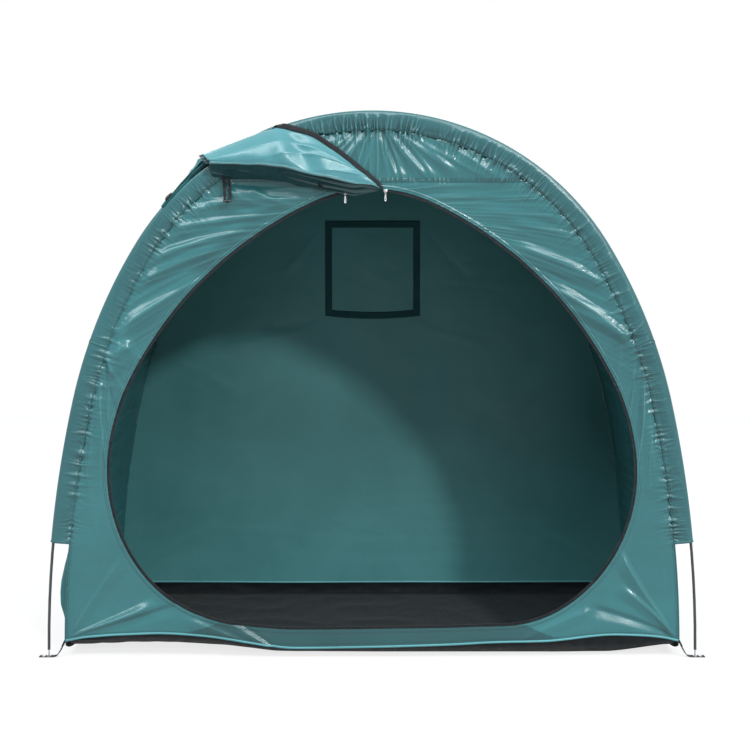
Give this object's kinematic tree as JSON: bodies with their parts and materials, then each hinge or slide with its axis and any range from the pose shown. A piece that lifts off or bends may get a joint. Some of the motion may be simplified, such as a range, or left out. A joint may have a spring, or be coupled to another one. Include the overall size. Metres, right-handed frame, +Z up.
{
  "type": "fabric bike shelter",
  "caption": "Arched fabric bike shelter: bent pole hoops in sewn sleeves carry a closed-back tunnel with an egg-shaped zipped doorway, its door thrown back, on a black groundsheet.",
  "frame": {"origin": "on the ground, at the middle of the four corner peg eyelets", "axes": "+X to the right seen from the doorway, +Y from the doorway to the back, +Z up"},
  "size_m": [2.04, 0.8871, 1.6571],
  "materials": {
    "shell_fabric": "satin coated weave",
    "ground_fabric": "matte woven sheet",
    "pole_rod": "satin glass-fibre rod",
    "steel": "plated",
    "webbing": "woven tape",
    "zip_tape": "woven tape with coil",
    "hook_tape": "hook and loop pile",
    "vent_mesh": "fine net",
    "toggle_plastic": "moulded"
  },
  "bodies": {
    "root": {"front_pole": "pole_rod", "back_pole": "pole_rod", "front_pole_ferrules": "steel", "back_pole_ferrules": "steel", "pole_tips": "steel", "front_left_lower_sleeve": "shell_fabric", "front_left_upper_sleeve": "shell_fabric", "front_right_upper_sleeve": "shell_fabric", "front_right_lower_sleeve": "shell_fabric", "back_left_lower_sleeve": "shell_fabric", "back_left_upper_sleeve": "shell_fabric", "back_right_upper_sleeve": "shell_fabric", "back_right_lower_sleeve": "shell_fabric", "front_cap_panel": "shell_fabric", "front_left_panel": "shell_fabric", "front_right_panel": "shell_fabric", "front_sill_panel": "shell_fabric", "back_panel": "shell_fabric", "left_wall": "shell_fabric", "left_roof": "shell_fabric", "right_roof": "shell_fabric", "right_wall": "shell_fabric", "groundsheet": "ground_fabric", "front_skirt": "ground_fabric", "back_skirt": "ground_fabric", "left_skirt": "ground_fabric", "right_skirt": "ground_fabric", "window_mesh": "vent_mesh", "window_flap": "shell_fabric", "window_tape_frame": "hook_tape", "door_zip": "zip_tape", "left_zip_slider": "steel", "right_zip_slider": "steel", "door_fold": "shell_fabric", "door_roll": "shell_fabric", "door_tie_loop": "webbing", "door_tie_toggle": "toggle_plastic", "left_guy_tab": "shell_fabric", "right_guy_tab": "shell_fabric", "front_right_strap": "webbing", "front_left_strap": "webbing", "back_right_strap": "webbing", "back_left_strap": "webbing", "strap_eyelets": "steel"}
  },
  "joints": []
}
